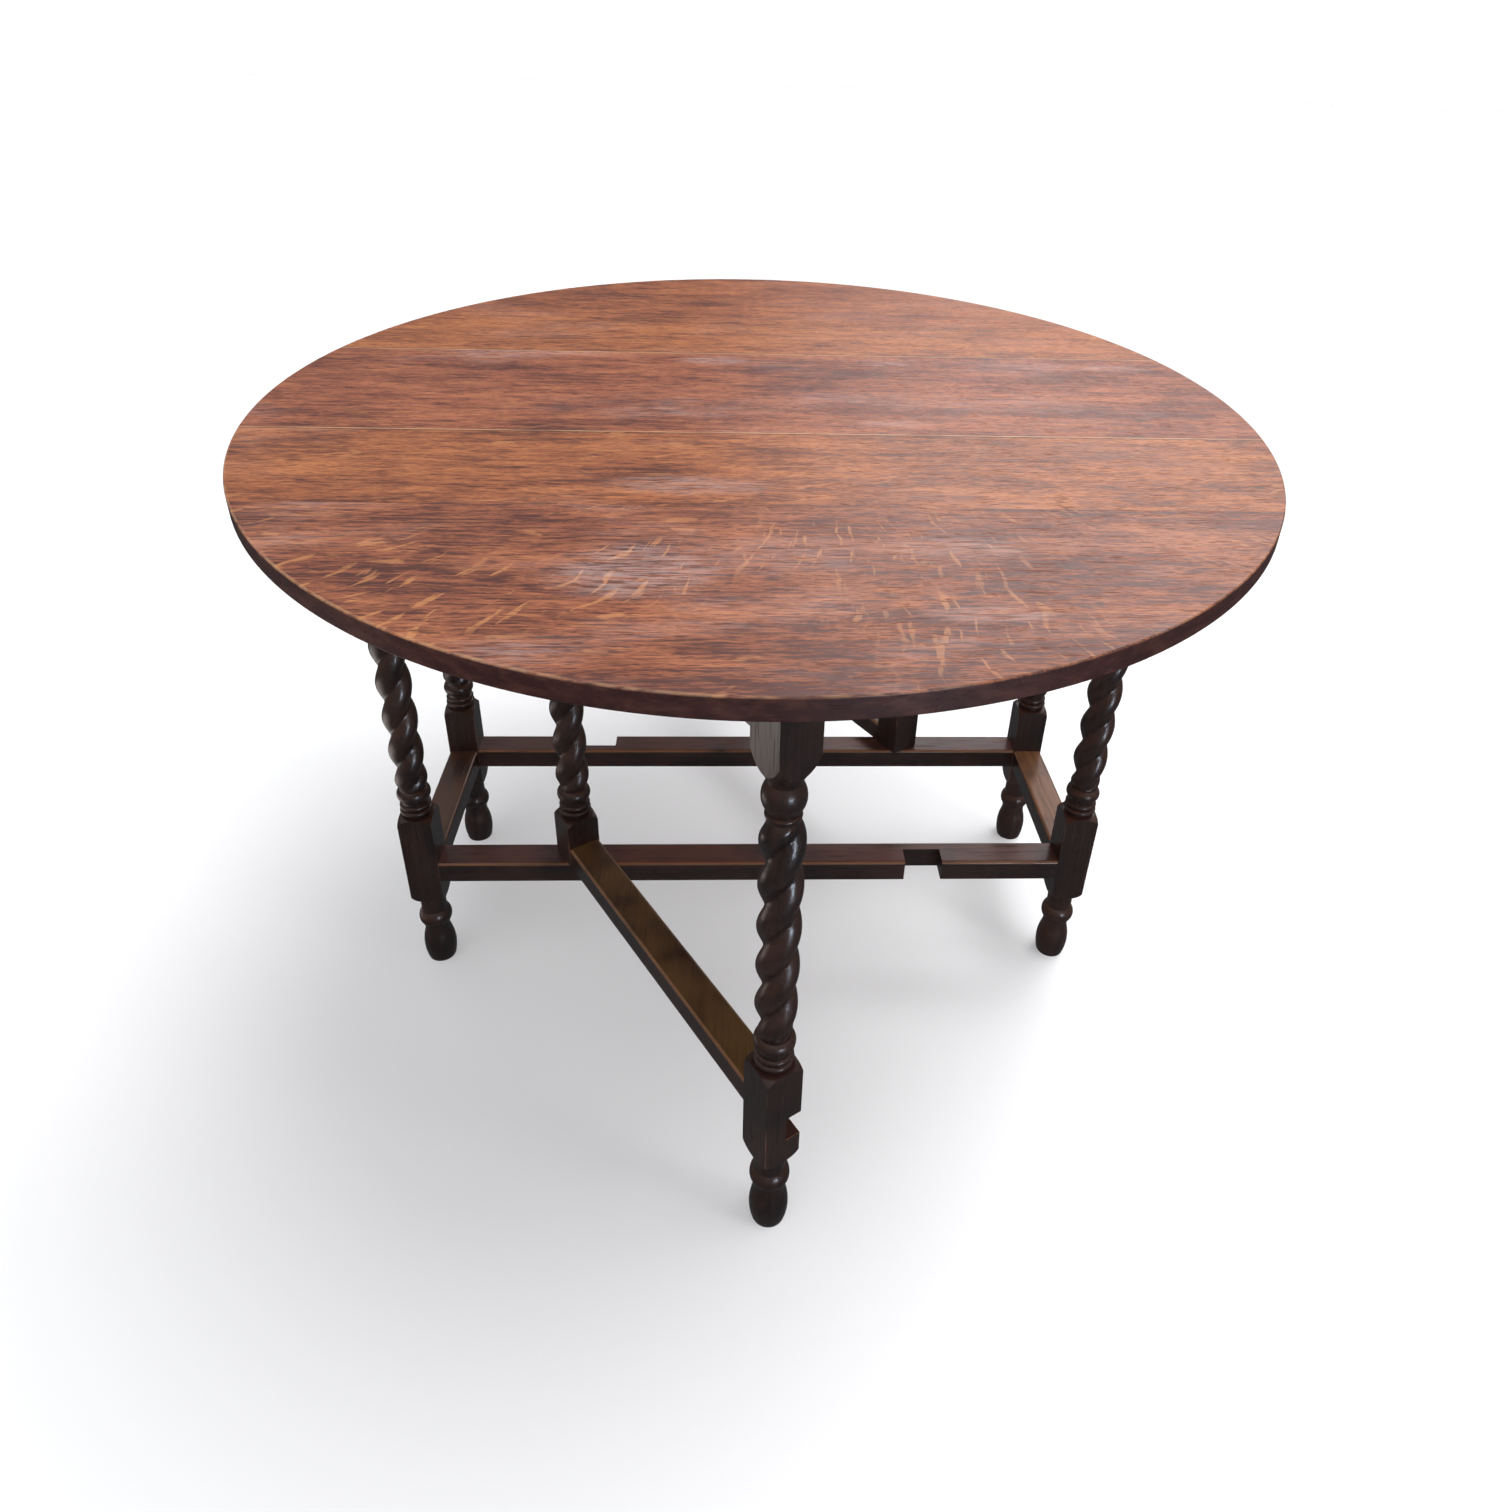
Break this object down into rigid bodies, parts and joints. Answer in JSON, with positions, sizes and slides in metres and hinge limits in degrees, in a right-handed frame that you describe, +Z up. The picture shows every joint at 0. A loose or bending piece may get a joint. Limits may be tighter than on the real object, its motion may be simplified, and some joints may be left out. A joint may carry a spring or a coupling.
{
  "type": "gateleg table",
  "caption": "Oval drop-leaf dining table with barley-twist legs, two swinging gate legs, low stretchers and back-flap hinged leaves",
  "frame": {"origin": "on the floor under the middle of the oval top", "axes": "+Z up, X along the boards and the fixed frame, Y across the two leaves with the front leaf towards -Y"},
  "size_m": [1.048, 1.284, 0.74],
  "materials": {
    "oak_top": "polished quarter-sawn oak, reddish brown with pale ray figure, worn gloss",
    "dark_oak": "near-black brown stained oak, satin, rubbed edges",
    "iron_hinges": "dull dark iron",
    "steel_screws": "aged steel"
  },
  "bodies": {
    "frame": {"back_hinge_left_board_flap": "iron_hinges", "back_hinge_left_leaf_flap": "iron_hinges", "back_hinge_left_pin": "iron_hinges", "back_hinge_middle_board_flap": "iron_hinges", "back_hinge_middle_leaf_flap": "iron_hinges", "back_hinge_middle_pin": "iron_hinges", "back_hinge_right_board_flap": "iron_hinges", "back_hinge_right_leaf_flap": "iron_hinges", "back_hinge_right_pin": "iron_hinges", "back_hinge_screws": "steel_screws", "back_leaf_inner_board": "oak_top", "back_leaf_outer_board": "oak_top", "back_leaf_stop": "dark_oak", "back_leaf_stop_screws": "steel_screws", "back_top_screws": "steel_screws", "end_rail_left": "dark_oak", "end_rail_right": "dark_oak", "end_stretcher_left": "dark_oak", "end_stretcher_right": "dark_oak", "front_hinge_left_board_flap": "iron_hinges", "front_hinge_left_leaf_flap": "iron_hinges", "front_hinge_left_pin": "iron_hinges", "front_hinge_middle_board_flap": "iron_hinges", "front_hinge_middle_leaf_flap": "iron_hinges", "front_hinge_middle_pin": "iron_hinges", "front_hinge_right_board_flap": "iron_hinges", "front_hinge_right_leaf_flap": "iron_hinges", "front_hinge_right_pin": "iron_hinges", "front_hinge_screws": "steel_screws", "front_leaf_inner_board": "oak_top", "front_leaf_outer_board": "oak_top", "front_leaf_stop": "dark_oak", "front_leaf_stop_screws": "steel_screws", "front_top_screws": "steel_screws", "leg_back_left": "dark_oak", "leg_back_right": "dark_oak", "leg_front_left": "dark_oak", "leg_front_right": "dark_oak", "long_rail_back": "dark_oak", "long_rail_front": "dark_oak", "long_stretcher_back": "dark_oak", "long_stretcher_front": "dark_oak", "middle_board": "oak_top"},
    "front_gate": {"front_gate_leg": "dark_oak", "front_pivot_post": "dark_oak", "front_gate_lower_rail": "dark_oak", "front_gate_upper_rail": "dark_oak"},
    "back_gate": {"back_gate_leg": "dark_oak", "back_pivot_post": "dark_oak", "back_gate_lower_rail": "dark_oak", "back_gate_upper_rail": "dark_oak"}
  },
  "joints": [
    {"name": "front_gate_swing", "type": "hinge", "parent": "frame", "child": "front_gate", "pos_m": [-0.221, -0.123, 0.172], "axis": [0, 0, 1], "range_deg": [0, 58]},
    {"name": "back_gate_swing", "type": "hinge", "parent": "frame", "child": "back_gate", "pos_m": [0.221, 0.123, 0.172], "axis": [0, 0, 1], "range_deg": [0, 58]}
  ]
}
